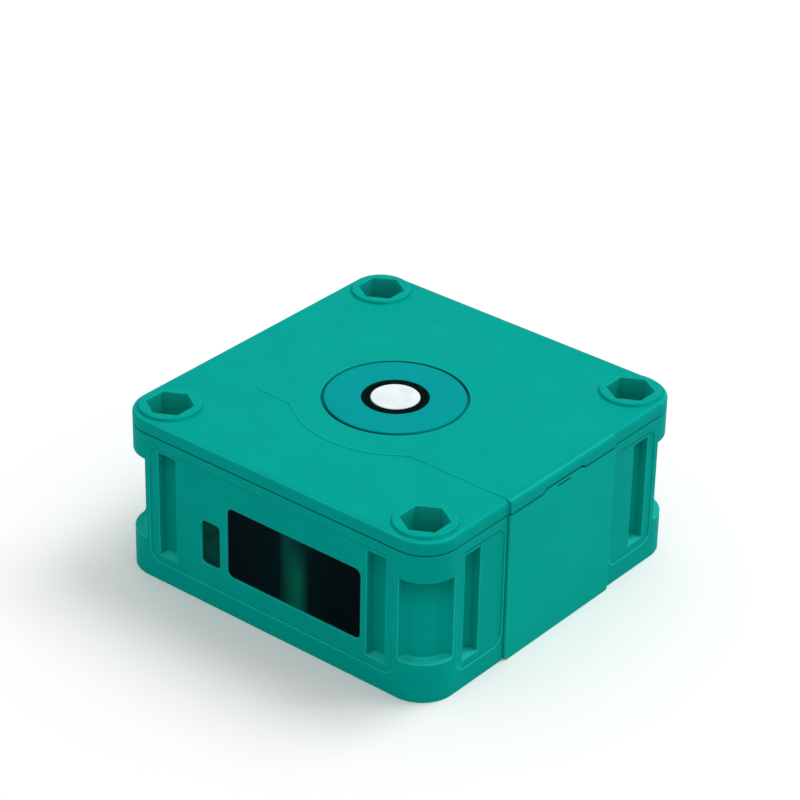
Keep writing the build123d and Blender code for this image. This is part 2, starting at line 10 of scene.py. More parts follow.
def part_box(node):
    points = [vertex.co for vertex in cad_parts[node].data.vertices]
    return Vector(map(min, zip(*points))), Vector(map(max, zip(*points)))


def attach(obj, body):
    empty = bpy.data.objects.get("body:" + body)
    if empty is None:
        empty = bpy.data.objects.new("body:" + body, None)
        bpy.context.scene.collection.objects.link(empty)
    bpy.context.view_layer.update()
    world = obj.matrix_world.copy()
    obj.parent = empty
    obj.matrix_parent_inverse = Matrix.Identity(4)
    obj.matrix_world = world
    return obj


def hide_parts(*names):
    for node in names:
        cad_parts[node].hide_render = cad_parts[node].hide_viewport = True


bl_info = {
    "name": "Block Ultrasonic Sensor",
    "version": (1, 0, 0),
    "blender": (4, 5, 0),
    "location": "View3D > Sidebar > Sensor",
    "description": "Dresses a square block ultrasonic sensor: moulded shell, lenses, connector and stage",
    "category": "Object",
}

MM = 0.001

# The housing, in millimetres
HALF = 40.0  # half its width
CORNER = 7.5  # its corner radius
COVER_TOP = 36.0  # the height of the cover
ROUND = 1.0  # the rounding of the cover's rim
CAD_ROUND = 0.31  # how far in the frame's own, smaller rounding of that rim reaches
WALL_BAND = 0.9  # how far in the walls above and below the seam reach
SKIRT_END = 33.35  # the cover's skirt ends below this height
WALL_END = (32.9, 33.1)  # the base's wall ends between these heights
SEAM_DROP = 0.17  # how far the seam between them is lowered
SEAM_BAND = 1.0  # how far in the seam's shadow reaches

# The dark window, with the upright band of light from its light guide painted into its colour: the
# tones at its ends, beside the band, and on the band near the window's lower and upper edge
WINDOW_END = "01090c"
WINDOW_DARK = "011215"
LOWER_GLOW = "005240"
UPPER_GLOW = "033b36"

# Where the tones lie, in millimetres from the middle of the sensor: the window's ends, and where the
# band starts, is brightest, begins to fade and ends
WINDOW_ENDS = (-11.0, 15.5)
LOWER_BAND = (2.3, 6.3, 7.4, 9.9)
UPPER_BAND = (2.3, 3.8, 4.2, 10.0)

# The front of the sensor gets less than full light, so its window's colours are made this much lighter
WINDOW_GAIN = 1.55

# Finishes of the smaller pieces: two tones, least and most roughness, grain or ring size in
# millimetres and, for metal, the axis along which the rings of its turning follow each other
RESINS = {
    "black_nylon_cap": (("0c0d0e", "16181a"), (0.4, 0.6), 0.2),
    "red_wire_insulation": (("7c130e", "951c14"), (0.3, 0.45), 0.3),
    "black_glass_filled_nylon": (("0b0c0d", "141618"), (0.4, 0.55), 0.2),
    "black_nitrile_rubber": (("0e0e0e", "191919"), (0.55, 0.7), 0.25),
    "brown_wire_insulation": (("3d2015", "4d2a1c"), (0.3, 0.45), 0.3),
    "grey_silicone_rubber": (("3a3d3f", "474b4d"), (0.5, 0.65), 0.3),
    "sintered_ferrite": (("1d1d20", "2a2a2e"), (0.45, 0.65), 0.15),
    "pressed_black_epoxy": (("0d0e10", "17191c"), (0.45, 0.6), 0.15),
    "dipped_epoxy_bead": (("101418", "1c2228"), (0.2, 0.35), 0.4),
    "phosphor_resin": (("d9cf7a", "e6df9b"), (0.15, 0.3), 0.2),
}
METALS = {
    "nickel_plated_brass": (("b9b4a6", "cfcbbf"), (0.2, 0.34), 0.12, "Y"),
    "gold_plated_contact": (("c99a3c", "e0b755"), (0.18, 0.3), 0.1, "Y"),
    "zinc_plated_steel": (("a9adb2", "c6c9cd"), (0.28, 0.45), 0.2, "Z"),
    "drawn_aluminium_can": (("b4b7ba", "cdd0d3"), (0.25, 0.4), 0.3, "Z"),
}

# Marks of the moulded faces: above 0 a painted highlight, paler on rounded edges and on faces that
# catch the light, and below 0 painted shade, darker in seams, grooves and under overhangs
MARKS = {
    "panel_top": -0.5, "panel_side": -0.4, "panel_edge": 0.35,
    "cover_rim": 0.35, "cover_seam": -0.6, "cover_hole": -0.7, "well_wall": 0.25, "cover_edge": 0.6,
    "ring_groove": -0.9,
    "base_rim": 0.25, "base_seam": -0.9, "right_field": -0.4, "other_fields": -0.15,
    "upper_floor": 0.6, "lower_floor": 1.0, "base_edge": 0.8,
}

# How much of a face's direction lies along an axis, from 0 to 1
BARELY = 0.3
HALFWAY = 0.5
MOSTLY = 0.7

# Roundings of the smaller pieces' edges, in metres
FOAM_ROUND = 0.12 * MM
LENS_ROUND = 0.12 * MM
TURNED_ROUND = 0.1 * MM
SCREW_ROUND = 0.06 * MM

# How a mesh is merged and shaded
ONE_POINT = 0.002 * MM  # vertices of the frame's meshes that lie nearer than this are one
ON_CUT = 1e-7  # what lies nearer to a cut than this, in metres, lies on it
FLAT_TURN = 0.6  # triangles that turn by less than this, in degrees, are one face
SOFT_TURN = 30  # edges that turn by less than this, in degrees, are shaded smooth
THREAD_SOFT_TURN = 32  # the same on the connector's shell

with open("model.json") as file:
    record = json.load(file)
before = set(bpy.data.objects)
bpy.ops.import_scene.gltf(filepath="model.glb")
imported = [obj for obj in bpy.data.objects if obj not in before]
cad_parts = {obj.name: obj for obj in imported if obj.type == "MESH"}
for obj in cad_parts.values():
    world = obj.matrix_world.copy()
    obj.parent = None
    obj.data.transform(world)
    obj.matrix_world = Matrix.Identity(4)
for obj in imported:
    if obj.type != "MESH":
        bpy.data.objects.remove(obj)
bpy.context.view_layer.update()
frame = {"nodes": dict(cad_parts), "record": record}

# The record's mount on the connector's barrel gives its radius, the height of its axis and the place
# where its thread starts
BARREL = next(mount for mount in frame["record"]["mounts"] if mount["name"] == "connector_thread")
THREAD_START = BARREL["pos_m"][1]
AXIS_HEIGHT = BARREL["pos_m"][2]


def linear(hex_colour):
    """Turns an sRGB hex colour into linear red, green and blue."""
    parts = [int(hex_colour[start:start + 2], 16) / 255 for start in (0, 2, 4)]
    return tuple(part / 12.92 if part <= 0.04045 else ((part + 0.055) / 1.055) ** 2.4 for part in parts)


class ShellSettings(bpy.types.PropertyGroup):
    """Sizes and colours of the moulded shell and its lenses"""

    # The housing and the cover are one plastic; the housing's colour is a little lighter, painted light that
    # makes up for the lesser light on its sides
    body_colour: FloatVectorProperty(
        name="Housing colour", description="Colour of the moulded base housing",
        subtype="COLOR", size=3, min=0, max=1, default=linear("00aa9d"),
    )
    cover_colour: FloatVectorProperty(
        name="Cover colour", description="Colour of the moulded cover",
        subtype="COLOR", size=3, min=0, max=1, default=linear("00a79b"),
    )
    panel_colour: FloatVectorProperty(
        name="Panel colour", description="Colour of the side panel, a little lighter",
        subtype="COLOR", size=3, min=0, max=1, default=linear("00b3a3"),
    )
    ring_colour: FloatVectorProperty(
        name="Ring colour", description="Colour of the ring round the transducer, a little bluer",
        subtype="COLOR", size=3, min=0, max=1, default=linear("009ea0"),
    )
    edge_width: FloatProperty(
        name="Edge rounding", description="Width of the rounding that the mould leaves on sharp edges",
        unit="LENGTH", min=0, default=0.13 * MM,
    )
    edge_angle: FloatProperty(
        name="Sharp angle", description="Edges that turn by more than this get the rounding",
        subtype="ANGLE", default=math.radians(38),
    )
    edge_steps: IntProperty(
        name="Rounding steps", description="Faces across one rounded edge", min=1, max=4, default=2,
    )
    grain_size: FloatProperty(
        name="Mould grain", description="Size of the grain of the moulded faces",
        unit="LENGTH", default=0.32 * MM,
    )


class ConnectorSettings(bpy.types.PropertyGroup):
    """Sizes of the threaded connector shell"""

    barrel_radius: FloatProperty(
        name="Thread radius", description="Outer radius of the thread",
        unit="LENGTH", default=BARREL["dims"]["r_mm"] * MM,
    )
    pitch: FloatProperty(
        name="Thread pitch", description="Distance from one thread crest to the next",
        unit="LENGTH", default=1.0 * MM,
    )
    thread_depth: FloatProperty(
        name="Thread depth", description="Depth of the thread groove", unit="LENGTH", default=0.58 * MM,
    )
    hexagon_width: FloatProperty(
        name="Hexagon width", description="Distance across the flats of the flange",
        unit="LENGTH", default=17.0 * MM,
    )
    flange_depth: FloatProperty(
        name="Flange depth", description="Thickness of the hexagon flange", unit="LENGTH", default=2.6 * MM,
    )
    bore_radius: FloatProperty(
        name="Socket radius", description="Radius of the socket round the contacts",
        unit="LENGTH", default=4.35 * MM,
    )


class StageSettings(bpy.types.PropertyGroup):
    """Camera, light and floor"""

    camera_place: FloatVectorProperty(
        name="Camera place", description="Where the camera stands", subtype="XYZ", unit="LENGTH",
        size=3, default=(0.33253, -0.41135, 0.34012),
    )
    azimuth: FloatProperty(
        name="Azimuth", description="Turn of the camera round the object", subtype="ANGLE",
        default=math.radians(38.991),
    )
    elevation: FloatProperty(
        name="Elevation", description="Height of the camera above the horizon", subtype="ANGLE",
        default=math.radians(29.928),
    )
    roll: FloatProperty(
        name="Roll", description="Tilt of the camera about its own axis", subtype="ANGLE",
        default=math.radians(1.213),
    )
    lens: FloatProperty(name="Lens", description="Focal length in millimetres", default=138.10)
    floor_size: FloatProperty(
        name="Floor size", description="Side of the square floor", unit="LENGTH", default=6.0,
    )
    sky_strength: FloatProperty(name="Sky", description="Strength of the even light all round", default=0.65)
    key_power: FloatProperty(
        name="Key light", description="Power of the large soft lamp", unit="POWER", default=9.6,
    )
    key_size: FloatProperty(
        name="Key size", description="Side of the square lamp", unit="LENGTH", default=0.8,
    )
    key_distance: FloatProperty(
        name="Key distance", description="Distance of the lamp from the object", unit="LENGTH", default=1.5,
    )
    key_direction: FloatVectorProperty(
        name="Key direction", description="Where the light comes from", subtype="DIRECTION",
        size=3, default=(0.25, 0.45, 0.857),
    )


def add(tree, kind, inputs=None, **settings):
    """Adds a node with its settings, socket values and links."""
    node = tree.nodes.new(kind)
    for name, value in settings.items():
        setattr(node, name, value)
    for name, value in (inputs or {}).items():
        if isinstance(value, bpy.types.NodeSocket):
            tree.links.new(value, node.inputs[name])
        else:
            node.inputs[name].default_value = value
    return node


def start_material(name, **shader_values):
    """A material with an empty tree but for its shader, and the socket of the object's own coordinates."""
    material = bpy.data.materials.new(name)
    material.use_nodes = True
    tree = material.node_tree
    tree.nodes.clear()
    values = {key.replace("_", " "): value for key, value in shader_values.items()}
    shader = add(tree, "ShaderNodeBsdfPrincipled", values)
    add(tree, "ShaderNodeOutputMaterial", {"Surface": shader.outputs[0]})
    place = add(tree, "ShaderNodeTexCoord").outputs["Object"]
    return material, tree, shader, place


def noise(tree, place, size, detail=3.0, roughness=0.5):
    """A noise pattern whose patches are about as wide as the given size."""
    values = {"Vector": place, "Scale": 1 / size, "Detail": detail, "Roughness": roughness}
    return add(tree, "ShaderNodeTexNoise", values).outputs[0]


def spread(tree, factor, low, high, from_low=0.35, from_high=0.65):
    """Maps a pattern to a range of values."""
    values = {"Value": factor, "From Min": from_low, "From Max": from_high, "To Min": low, "To Max": high}
    return add(tree, "ShaderNodeMapRange", values).outputs[0]


def mixed(tree, factor, first, second):
    """A colour between two others; each is a socket or linear values."""
    ends = [end if isinstance(end, bpy.types.NodeSocket) else (*end, 1) for end in (first, second)]
    node = add(tree, "ShaderNodeMix", {0: factor, 6: ends[0], 7: ends[1]}, data_type="RGBA")
    return node.outputs[2]


def glowing_band(tree, across, band, glow):
    """The window's tones from left to right: dark, with the painted band of light."""
    start, bright, fading, end = band
    left, right = WINDOW_ENDS
    places = (left, start, bright, fading, end, right)
    tones = (WINDOW_END, WINDOW_DARK, glow, glow, WINDOW_DARK, WINDOW_END)
    node = add(tree, "ShaderNodeValToRGB", {0: spread(tree, across, 0, 1, left * MM, right * MM)})
    points = node.color_ramp.elements
    while len(points) < len(places):
        points.new(0.5)
    for point, place, tone in zip(points, places, tones):
        point.position = (place - left) / (right - left)
        point.color = (*shade(linear(tone), WINDOW_GAIN), 1)
    return node.outputs[0]


def raise_surface(tree, shader, height, depth, strength):
    """Lets a pattern raise and sink the surface by a depth."""
    bump = add(tree, "ShaderNodeBump", {"Height": height, "Distance": depth, "Strength": strength})
    tree.links.new(bump.outputs[0], shader.inputs["Normal"])


def shade(colour, amount):
    """A colour made darker or lighter by a factor."""
    return tuple(min(1.0, part * amount) for part in colour)


def moulded_pbt(name, colour, grain):
    # Glass-filled PBT moulded against a spark-eroded face: an even soft matt with a fine grain,
    # slightly cloudy in colour. A painted highlight makes its rounded edges and some lit faces paler,
    # and painted shade darkens its seams, grooves and the faces below its overhangs.
    material, tree, shader, place = start_material(
        name, IOR=1.55, Specular_IOR_Level=0.015, Specular_Tint=(0.02, 0.75, 0.72, 1.0),
    )
    cloud = noise(tree, place, 9 * MM, detail=4)
    speck = noise(tree, place, grain, detail=2, roughness=0.7)
    body = mixed(tree, spread(tree, cloud, 0, 1), shade(colour, 0.965), shade(colour, 1.02))
    grained = mixed(tree, spread(tree, speck, 0, 0.10), body, shade(colour, 0.55))
    # Painted light and shade: a face mark above 0 paints a highlight, one below 0 paints shade
    painted_light_mark = add(tree, "ShaderNodeAttribute", attribute_name="edge").outputs["Fac"]
    patchy_highlight = add(tree, "ShaderNodeMath", {0: painted_light_mark, 1: spread(tree, cloud, 0.75, 1.0)}, operation="MULTIPLY")
    highlight_colour = (colour[0] + 0.02, min(1.0, colour[1] * 1.6), min(1.0, colour[2] * 1.58))
    highlighted = mixed(tree, patchy_highlight.outputs[0], grained, highlight_colour)
    seam = add(tree, "ShaderNodeMath", {0: painted_light_mark, 1: -1.0}, operation="MULTIPLY").outputs[0]
    # The vertex mark paints the shadow below the overhangs; the darker of the two paints shade
    depth = add(tree, "ShaderNodeAttribute", attribute_name="depth").outputs["Fac"]
    painted_shade = add(tree, "ShaderNodeMath", {0: seam, 1: depth}, operation="MAXIMUM").outputs[0]
    tree.links.new(mixed(tree, painted_shade, highlighted, shade(colour, 0.25)), shader.inputs["Base Color"])
    tree.links.new(spread(tree, speck, 0.50, 0.62), shader.inputs["Roughness"])
    raise_surface(tree, shader, speck, 0.02 * MM, 0.35)
    return material


def pore_foam(name):
    # Closed-cell polyurethane foam, cut from a tube: dull black with fine open pores.
    material, tree, shader, place = start_material(name, IOR=1.5, Specular_IOR_Level=0.015)
    cells = add(tree, "ShaderNodeTexVoronoi", {"Vector": place, "Scale": 1 / (0.28 * MM)}).outputs[0]
    tone = mixed(tree, spread(tree, cells, 0, 1, 0.1, 0.6), linear("000403"), linear("021713"))
    tree.links.new(tone, shader.inputs["Base Color"])
    tree.links.new(spread(tree, cells, 0.75, 0.95, 0.0, 1.0), shader.inputs["Roughness"])
    raise_surface(tree, shader, cells, 0.05 * MM, 0.5)
    return material


def bubble_resin(name):
    # Epoxy cast with hollow glass bubbles: chalky white, with a faint sparkle of tiny bubbles.
    material, tree, shader, place = start_material(name, IOR=1.5, Specular_IOR_Level=0.3)
    bubbles = add(tree, "ShaderNodeTexVoronoi", {"Vector": place, "Scale": 1 / (0.22 * MM)}).outputs[0]
    cloud = noise(tree, place, 2.5 * MM)
    tone = mixed(tree, spread(tree, cloud, 0, 1), linear("e6f0f3"), linear("f3fafc"))
    flecked = mixed(tree, spread(tree, bubbles, 0.16, 0, 0.0, 0.35), tone, linear("b9cdd2"))
    tree.links.new(flecked, shader.inputs["Base Color"])
    tree.links.new(spread(tree, bubbles, 0.42, 0.6, 0.0, 0.8), shader.inputs["Roughness"])
    raise_surface(tree, shader, bubbles, 0.01 * MM, 0.4)
    return material


def smoked_acrylic(name):
    # Tinted acrylic, injection moulded and polished: almost black and glossy. The glow of the light guide
    # behind it is painted into its colour as a deep green upright band, sharp on one side and fading on the
    # other.
    material, tree, shader, place = start_material(
        name, IOR=1.49, Specular_IOR_Level=0.012, Specular_Tint=(0.3, 0.9, 1.0, 1.0),
    )
    across, _, up = add(tree, "ShaderNodeSeparateXYZ", {0: place}).outputs
    lower = glowing_band(tree, across, LOWER_BAND, LOWER_GLOW)
    upper = glowing_band(tree, across, UPPER_BAND, UPPER_GLOW)
    cloud = noise(tree, place, 7 * MM, detail=1)
    glow = mixed(tree, spread(tree, up, 0, 1, 15 * MM, 23 * MM), lower, upper)
    dimmed = mixed(tree, spread(tree, cloud, 0, 0.12), glow, linear("01060a"))
    tree.links.new(dimmed, shader.inputs["Base Color"])
    smear = noise(tree, place, 3 * MM, detail=5, roughness=0.6)
    tree.links.new(spread(tree, smear, 0.06, 0.16), shader.inputs["Roughness"])
    raise_surface(tree, shader, smear, 0.004 * MM, 0.3)
    return material


def green_acrylic(name):
    # The same tinted acrylic in green, set deeper: dark bottle green with a soft shine.
    material, tree, shader, place = start_material(
        name, IOR=1.49, Specular_IOR_Level=0.015, Specular_Tint=(0.1, 0.9, 0.85, 1.0),
    )
    cloud = noise(tree, place, 2.5 * MM, detail=2)
    tone = mixed(tree, spread(tree, cloud, 0, 1), linear("013632"), linear("024841"))
    tree.links.new(tone, shader.inputs["Base Color"])
    tree.links.new(spread(tree, cloud, 0.12, 0.24), shader.inputs["Roughness"])
    raise_surface(tree, shader, cloud, 0.01 * MM, 0.3)
    return material


def turned_metal(name):
    # Turned and plated or drawn metal: fine rings of tool marks and a slightly uneven skin. The wave
    # texture's own bands are 0.314 apart, so the rings lie about two ring sizes apart.
    tones, gloss, ring_size, direction = METALS[name]
    material, tree, shader, place = start_material(name, Metallic=1.0)
    rings = add(
        tree, "ShaderNodeTexWave",
        {"Vector": place, "Scale": 1 / (6.28 * ring_size * MM), "Distortion": 0.6, "Detail": 2.0},
        wave_type="BANDS", bands_direction=direction,
    ).outputs[1]
    plating = noise(tree, place, 1.6 * MM, detail=5, roughness=0.6)
    tone = mixed(tree, spread(tree, plating, 0, 1), linear(tones[0]), linear(tones[1]))
    tree.links.new(tone, shader.inputs["Base Color"])
    tree.links.new(spread(tree, plating, *gloss), shader.inputs["Roughness"])
    raise_surface(tree, shader, rings, 0.006 * MM, 0.4)
    return material


def moulded_resin(name, depth=0.01 * MM):
    # Moulded or pressed resin and rubber: one dull tone with a fine grain and a cloudy sheen.
    tones, gloss, grain = RESINS[name]
    material, tree, shader, place = start_material(name, IOR=1.5, Specular_IOR_Level=0.4)
    cloud = noise(tree, place, 2 * MM, detail=4)
    speck = noise(tree, place, grain * MM, detail=2, roughness=0.7)
    body = mixed(tree, spread(tree, cloud, 0, 1), linear(tones[0]), linear(tones[1]))
    grained = mixed(tree, spread(tree, speck, 0, 0.25), body, shade(linear(tones[0]), 0.5))
    tree.links.new(grained, shader.inputs["Base Color"])
    tree.links.new(spread(tree, speck, *gloss), shader.inputs["Roughness"])
    raise_surface(tree, shader, speck, depth, 0.4)
    return material


def masked_board(name):
    # Glass-fibre board under green solder mask: copper tracks stand up as paler lines, with
    # tinned pads in rows.
    material, tree, shader, place = start_material(name, IOR=1.5, Specular_IOR_Level=0.5)
    tracks = add(
        tree, "ShaderNodeTexBrick",
        {"Vector": place, "Scale": 1 / (3.2 * MM), "Mortar Size": 0.06, "Mortar Smooth": 0.1,
         "Brick Width": 1.0, "Row Height": 0.5},
    ).outputs["Fac"]
    pads = add(
        tree, "ShaderNodeTexVoronoi", {"Vector": place, "Scale": 1 / (2.1 * MM), "Randomness": 0.0},
    ).outputs[0]
    weave = noise(tree, place, 0.5 * MM, detail=2)
    mask = mixed(tree, spread(tree, weave, 0, 1), linear("0b4a24"), linear("0f5a2d"))
    tracked = mixed(tree, spread(tree, tracks, 0, 0.8, 0, 1), mask, linear("1f7d43"))
    padded = mixed(tree, spread(tree, pads, 1, 0, 0.13, 0.15), tracked, linear("b9bcb6"))
    tree.links.new(padded, shader.inputs["Base Color"])
    tree.links.new(spread(tree, weave, 0.25, 0.4), shader.inputs["Roughness"])
    raise_surface(tree, shader, tracks, 0.03 * MM, 0.6)
    return material


def fired_ceramic(name):
    # Lead zirconate ceramic with a silver paste fired on: warm grey, dull and slightly streaked.
    material, tree, shader, place = start_material(name, IOR=2.0, Specular_IOR_Level=0.5)
    streak = noise(tree, place, 0.9 * MM, detail=6, roughness=0.7)
    tone = mixed(tree, spread(tree, streak, 0, 1), linear("a79f8a"), linear("c9c4b2"))
    tree.links.new(tone, shader.inputs["Base Color"])
    tree.links.new(spread(tree, streak, 0.35, 0.6), shader.inputs["Roughness"])
    raise_surface(tree, shader, streak, 0.01 * MM, 0.4)
    return material


def dressed(piece, material, nodes, body="root"):
    """Gives a piece its finish and its place on the body, in the place of its nodes."""
    piece.data.materials.clear()
    piece.data.materials.append(material)
    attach(piece, body)
    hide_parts(*nodes)


def linked_object(name, data):
    """Puts a mesh, a light or a camera in the scene as an object at the origin."""
    piece = bpy.data.objects.new(name, data)
    bpy.context.scene.collection.objects.link(piece)
    return piece


def finished_object(node, bm, angle):
    """Makes the object for a node's place, smooth but for the edges that turn by over the angle."""
    mesh = bpy.data.meshes.new(node + "_shape")
    bm.to_mesh(mesh)
    bm.free()
    mesh.polygons.foreach_set("use_smooth", [True] * len(mesh.polygons))
    mesh.set_sharp_from_angle(angle=math.radians(angle))
    return linked_object(node + "_finished", mesh)


def repaint(node, material):
    """Gives a node that keeps its own mesh a better finish."""
    mesh = frame["nodes"][node].data
    mesh.materials.clear()
    mesh.materials.append(material)


def rim_inset(x, y):
    """How far a point, in millimetres, lies inside the rounded square outline."""
    out = Vector((abs(x) - HALF + CORNER, abs(y) - HALF + CORNER))
    held = Vector((max(out.x, 0), max(out.y, 0)))
    return CORNER - held.length - min(max(out.x, out.y), 0)


def way_out(x, y):
    """The level direction outwards at a point near the rim, in millimetres."""
    held = [math.copysign(max(abs(part) - HALF + CORNER, 0), part) for part in (x, y)]
    return Vector((*held, 0)).normalized()


def whole(bm):
    """All of a mesh, as the operator that cuts it takes it."""
    return bm.verts[:] + bm.edges[:] + bm.faces[:]


def merged_mesh(node):
    """A copy of a node's mesh, its loose triangles merged into whole faces."""
    bm = bmesh.new()
    bm.from_mesh(frame["nodes"][node].data)
    bmesh.ops.remove_doubles(bm, verts=bm.verts, dist=ONE_POINT)
    bmesh.ops.dissolve_limit(
        bm, angle_limit=math.radians(FLAT_TURN), use_dissolve_boundaries=False, verts=bm.verts,
        edges=bm.edges, delimit={"NORMAL"},
    )
    return bm


def round_edges(bm, width, angle, steps):
    """Rounds the sharp outer edges of a mesh and marks the faces of the rounding."""
    edge_mark = bm.faces.layers.float.new("edge")
    sharp = [
        edge for edge in bm.edges
        if len(edge.link_faces) == 2 and edge.calc_face_angle_signed(0) > angle
    ]
    if width > 0 and sharp:
        rounding = bmesh.ops.bevel(
            bm, geom=sharp, offset=width, offset_type="OFFSET", segments=steps, profile=0.5,
            affect="EDGES", material=-1, clamp_overlap=False,
        )
        for face in rounding["faces"]:
            face[edge_mark] = 1.0


def mark_faces(bm, marked):
    """Gives each face the mark that it gets for its place, its direction and its rounding."""
    edge_mark = bm.faces.layers.float["edge"]
    for face in bm.faces:
        face[edge_mark] = marked(face.calc_center_median() / MM, face.normal, face[edge_mark])


def mark_painted_shadow(bm, shadowed):
    """Gives each vertex the painted shadow that it gets for its place."""
    shadow_mark = bm.verts.layers.float.new("depth")
    for vert in bm.verts:
        vert[shadow_mark] = shadowed(vert.co / MM)


def finish_copy(node, material, width=None, steps=None, reshape=None, marked=None, shadowed=None):
    """Replaces a node by a merged copy with rounded edges, reshaped and marked by its own functions."""
    settings = bpy.context.scene.sensor_shell
    bm = merged_mesh(node)
    if reshape:
        reshape(bm)
    round_edges(
        bm, settings.edge_width if width is None else width, settings.edge_angle,
        settings.edge_steps if steps is None else steps,
    )
    bm.normal_update()
    if marked:
        mark_faces(bm, marked)
    if shadowed:
        mark_painted_shadow(bm, shadowed)
    bmesh.ops.triangulate(bm, faces=[face for face in bm.faces if len(face.verts) > 4])
    piece = finished_object(node, bm, SOFT_TURN)
    piece.modifiers.new("face_weight", "WEIGHTED_NORMAL").keep_sharp = True
    dressed(piece, material, [node])


def cut_level(bm, height):
    """Cuts a mesh at a height in millimetres, so that a strip of it can be moved or marked."""
    bmesh.ops.bisect_plane(
        bm, geom=whole(bm), plane_co=(0, 0, height * MM), plane_no=(0, 0, 1), dist=ON_CUT,
    )


# The side panel, in millimetres
PANEL_FACE = 39.0  # its outer face lies farther out than this
PANEL_CLEAR = 39.9  # from here out its sides stand clear of the housing
PANEL_SHADOW = 32.6  # it lies in the seam's shadow above this height
PANEL_TOP = 33.17  # only its top edge and its latch tab lie above this height
PANEL_DROP = 0.05  # how far its top edge is lowered
TAB_TOP = 33.45  # only the tab lies above this height
TAB_RISE = 0.12  # how far the tab is raised
TAB_NARROWING = 0.28  # how far the tab's top is narrowed at each end
TAB_SLOPE_END = (5, 7)  # the tab's slopes end this far from its middle
TAB_SPREAD = 0.6  # how far those ends are spread


def panel_shape(bm):
    """Draws the panel's latch tab up to its full height and lets the seam above it sit lower."""
    near, far = TAB_SLOPE_END
    for vert in bm.verts:
        x, y, z = vert.co / MM
        if z > TAB_TOP:
            vert.co += Vector((0, -math.copysign(TAB_NARROWING, y), TAB_RISE)) * MM
        elif z > PANEL_TOP:
            vert.co.z -= PANEL_DROP * MM
            if x > PANEL_FACE and near < abs(y) < far:
                vert.co.y += math.copysign(TAB_SPREAD, y) * MM


def panel_marks(place, normal, mark):
    """Painted shade on the panel's top edge in the seam and on its clear sides; a faint painted highlight on
    its other edges.
    """
    if place.z > PANEL_SHADOW:
        return MARKS["panel_top"] if mark or normal.z > HALFWAY else 0.0
    if not mark and abs(normal.y) > MOSTLY and place.x > PANEL_CLEAR:
        return MARKS["panel_side"]
    return mark * MARKS["panel_edge"]


# The turns of the rim's rounding, in degrees, at which the cover is cut before it is bent
RIM_TURNS = (0, 12, 24, 36, 48)


def cover_shape(bm):
    """Rounds the rim of the cover, lowers its skirt to the seam and adds its brow over the panel."""
    rim_start = COVER_TOP - ROUND
    for turn in RIM_TURNS:
        cut_level(bm, rim_start + ROUND * math.sin(math.radians(turn)))
    for vert in bm.verts:
        x, y, z = vert.co / MM
        inset = rim_inset(x, y)
        if inset < CAD_ROUND and z > rim_start:
            rise = min(1.0, (z - rim_start) / ROUND)
            vert.co += way_out(x, y) * (inset - ROUND * (1 - math.sqrt(1 - rise * rise))) * MM
        elif inset < WALL_BAND and z < SKIRT_END:
            vert.co.z -= SEAM_DROP * MM
    add_brow(bm)


# The cover's brow over the side panel, in millimetres
BROW_HALF = 16.6  # half its width
PROUD = 0.65  # how far it stands proud of the housing
BROW_RISE = 0.2  # how far its top stands over the cover's
BROW_BACK = 38.8  # where its back lies, inside the cover
BROW_SLOPE = (0.2, 0.3)  # how far the slope from its back to its top runs out and up
BROW_LOW = 33.36  # its lower edge
BROW_HIGH = 34.08  # its lower edge over the latch tab
BROW_PLACES = (
    (-7.0, BROW_LOW), (-5.6, BROW_HIGH), (5.6, BROW_HIGH), (7.0, BROW_LOW), (BROW_HALF, BROW_LOW),
)  # the places along the panel that it is drawn to, with the height of its lower edge there
ARC_STEP = 10  # the turn of one step of its rounding, in degrees


def add_brow(bm):
    """Adds the part of the cover that lies flush with the side panel: its profile, drawn along it."""
    face_x = HALF + PROUD
    top = COVER_TOP + BROW_RISE
    turns = [math.radians(turn) for turn in range(90, -1, -ARC_STEP)]
    back = [(BROW_BACK, BROW_LOW), (BROW_BACK, top - BROW_SLOPE[1]), (BROW_BACK + BROW_SLOPE[0], top)]
    arc = [(face_x - ROUND * (1 - math.cos(turn)), top - ROUND * (1 - math.sin(turn))) for turn in turns]
    profile = back + arc + [(face_x, BROW_LOW)]
    verts = [bm.verts.new(Vector((x, -BROW_HALF, z)) * MM) for x, z in profile]
    first = end = bm.faces.new(verts)
    for place, lower in BROW_PLACES:
        last = end
        grown = bmesh.ops.extrude_face_region(bm, geom=[last])["geom"]
        end = next(item for item in grown if isinstance(item, bmesh.types.BMFace))
        if last is not first:
            bmesh.ops.delete(bm, geom=[last], context="FACES_ONLY")
        for vert in end.verts:
            vert.co.y = place * MM
            if vert.co.z < (COVER_TOP - ROUND) * MM:
                vert.co.z = lower * MM
        verts += end.verts
    faces = dict.fromkeys(face for vert in verts for face in vert.link_faces)
    bmesh.ops.recalc_face_normals(bm, faces=list(faces))


# Where the cover is marked, in millimetres
RIM_BAND = 1.2  # how far in its rim reaches
BROW_BAND = 0.36  # how far in the brow's rounding reaches
BROW_FACE = 39.6  # the brow lies farther out than this
SKIRT_TOP = 34.2  # the shadow of the seam lies below this height
HOLE_REACH = 18  # the transducer's hole lies within this distance of the middle
BOLT_PLACE = 32.5  # the bolts lie this far from the middle both ways
WELL_REACH = 5.2  # a hexagon well lies within this distance of its bolt
HIGHLIT_RIM = (0.60, 0.90)  # how far up the faces of the rim with the painted highlight look, from 0 to 1
HIGHLIT_BROW = (0.80, 0.985)  # how far up those of the brow look


